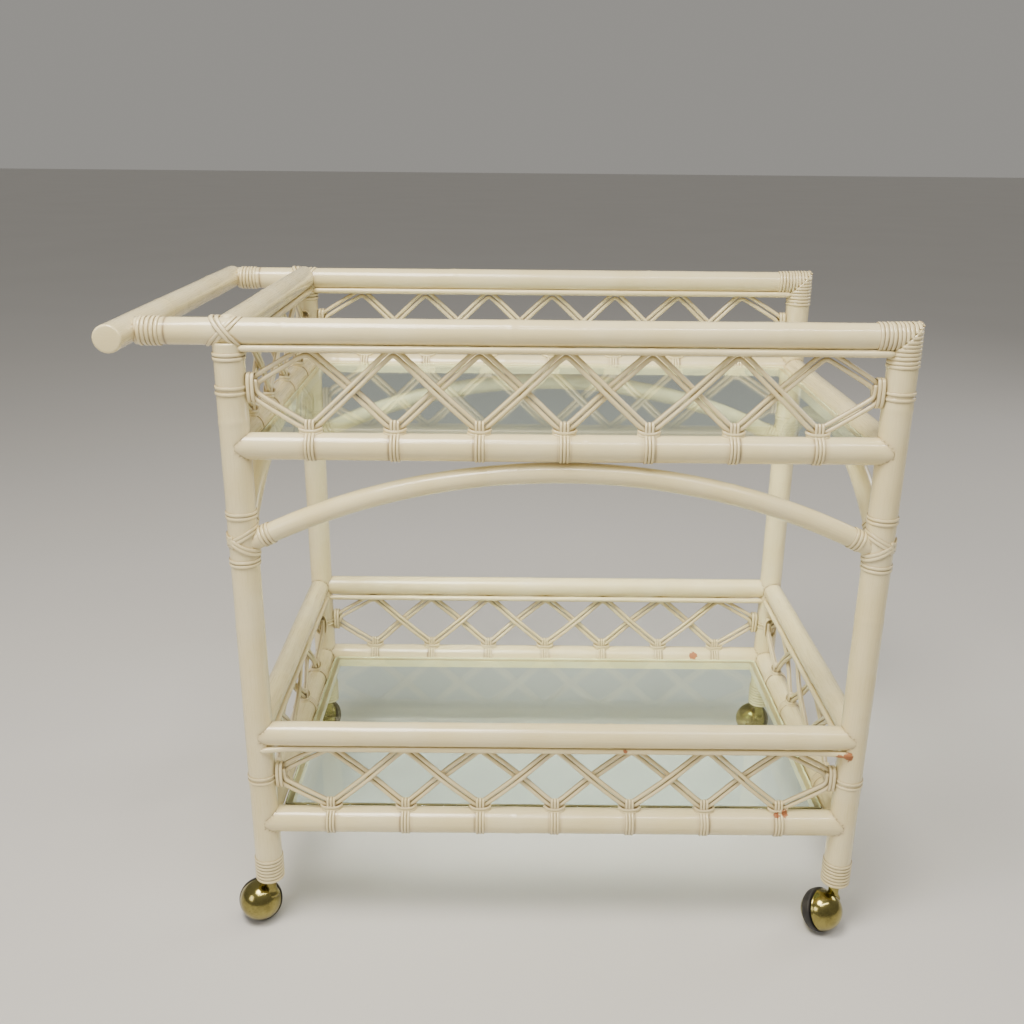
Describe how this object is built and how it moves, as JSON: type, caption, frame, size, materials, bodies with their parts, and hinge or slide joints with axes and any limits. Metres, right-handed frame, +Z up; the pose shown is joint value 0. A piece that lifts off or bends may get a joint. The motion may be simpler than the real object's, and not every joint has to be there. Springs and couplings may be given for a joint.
{
  "type": "rattan bar cart",
  "caption": "Painted rattan bar cart: two lift-out glass shelves in a pole frame with lattice galleries, a push handle and swivelling ball casters.",
  "frame": {"origin": "on the floor under the middle of the whole cart's box", "axes": "+X along the cart away from the push handle, +Y from the front long side to the back one, +Z up"},
  "size_m": [0.8762, 0.5508, 0.7907],
  "materials": {
    "painted_pole": "rattan poles under brushed cream gloss paint",
    "painted_cane": "thin rattan cane under cream gloss paint",
    "painted_peel": "wound rattan peel under cream gloss paint, darker in its seams",
    "painted_batten": "softwood battens under cream paint",
    "shelf_glass": "clear float glass with a faint green edge",
    "brass": "polished, slightly tarnished brass plate",
    "tyre_rubber": "hard black rubber",
    "stem_steel": "zinc plated steel",
    "screw_steel": "plain steel"
  },
  "bodies": {
    "frame": {"top_rail_front": "painted_pole", "top_rail_back": "painted_pole", "handle_bar": "painted_pole", "top_cross_bar": "painted_pole", "leg_front_left": "painted_pole", "leg_front_right": "painted_pole", "leg_back_left": "painted_pole", "leg_back_right": "painted_pole", "tray_rail_front": "painted_pole", "tray_rail_back": "painted_pole", "tray_rail_left": "painted_pole", "tray_rail_right": "painted_pole", "lower_top_rail_front": "painted_pole", "lower_top_rail_back": "painted_pole", "lower_top_rail_left": "painted_pole", "lower_top_rail_right": "painted_pole", "lower_base_rail_front": "painted_pole", "lower_base_rail_back": "painted_pole", "lower_base_rail_left": "painted_pole", "lower_base_rail_right": "painted_pole", "arch_front": "painted_pole", "arch_back": "painted_pole", "arch_left": "painted_pole", "arch_right": "painted_pole", "trim_rods": "painted_cane", "upper_gallery_front": "painted_cane", "upper_gallery_back": "painted_cane", "upper_gallery_left": "painted_cane", "lower_gallery_front": "painted_cane", "lower_gallery_back": "painted_cane", "lower_gallery_left": "painted_cane", "lower_gallery_right": "painted_cane", "gallery_bindings": "painted_peel", "joint_bindings": "painted_peel", "foot_bindings": "painted_peel", "glass_battens": "painted_batten", "joint_screws": "screw_steel", "caster_sockets": "brass"},
    "top_shelf": {"top_glass": "shelf_glass"},
    "lower_shelf": {"lower_glass": "shelf_glass"},
    "swivel_front_left": {"caster_hood_front_left": "brass", "caster_stem_front_left": "stem_steel", "caster_axle_front_left": "stem_steel"},
    "wheel_front_left": {"caster_wheel_front_left": "brass", "caster_tyre_front_left": "tyre_rubber"},
    "swivel_front_right": {"caster_hood_front_right": "brass", "caster_stem_front_right": "stem_steel", "caster_axle_front_right": "stem_steel"},
    "wheel_front_right": {"caster_wheel_front_right": "brass", "caster_tyre_front_right": "tyre_rubber"},
    "swivel_back_left": {"caster_hood_back_left": "brass", "caster_stem_back_left": "stem_steel", "caster_axle_back_left": "stem_steel"},
    "wheel_back_left": {"caster_wheel_back_left": "brass", "caster_tyre_back_left": "tyre_rubber"},
    "swivel_back_right": {"caster_hood_back_right": "brass", "caster_stem_back_right": "stem_steel", "caster_axle_back_right": "stem_steel"},
    "wheel_back_right": {"caster_wheel_back_right": "brass", "caster_tyre_back_right": "tyre_rubber"}
  },
  "joints": [
    {"name": "top_glass_lift", "type": "slide", "parent": "frame", "child": "top_shelf", "axis": [0, 0, 1], "range_m": [0, 0.2]},
    {"name": "lower_glass_lift", "type": "slide", "parent": "frame", "child": "lower_shelf", "axis": [0, 0, 1], "range_m": [0, 0.2]},
    {"name": "swivel_front_left", "type": "hinge", "parent": "frame", "child": "swivel_front_left", "pos_m": [-0.31261, -0.22092, 0.068], "axis": [0, 0, 1], "continuous": true},
    {"name": "roll_front_left", "type": "hinge", "parent": "swivel_front_left", "child": "wheel_front_left", "pos_m": [-0.32899, -0.21733, 0.028], "axis": [0.079, -0.9029, 0.4226], "continuous": true},
    {"name": "swivel_front_right", "type": "hinge", "parent": "frame", "child": "swivel_front_right", "pos_m": [0.41739, -0.22092, 0.068], "axis": [0, 0, 1], "continuous": true},
    {"name": "roll_front_right", "type": "hinge", "parent": "swivel_front_right", "child": "wheel_front_right", "pos_m": [0.40254, -0.2287, 0.028], "axis": [0.6409, -0.6409, 0.4226], "continuous": true},
    {"name": "swivel_back_left", "type": "hinge", "parent": "frame", "child": "swivel_back_left", "pos_m": [-0.31261, 0.23208, 0.068], "axis": [0, 0, 1], "continuous": true},
    {"name": "roll_back_left", "type": "hinge", "parent": "swivel_back_left", "child": "wheel_back_left", "pos_m": [-0.32166, 0.24619, 0.028], "axis": [-0.5826, -0.6943, 0.4226], "continuous": true},
    {"name": "swivel_back_right", "type": "hinge", "parent": "frame", "child": "swivel_back_right", "pos_m": [0.41739, 0.23208, 0.068], "axis": [0, 0, 1], "continuous": true},
    {"name": "roll_back_right", "type": "hinge", "parent": "swivel_back_right", "child": "wheel_back_right", "pos_m": [0.41093, 0.24755, 0.028], "axis": [-0.6943, -0.5826, 0.4226], "continuous": true}
  ]
}
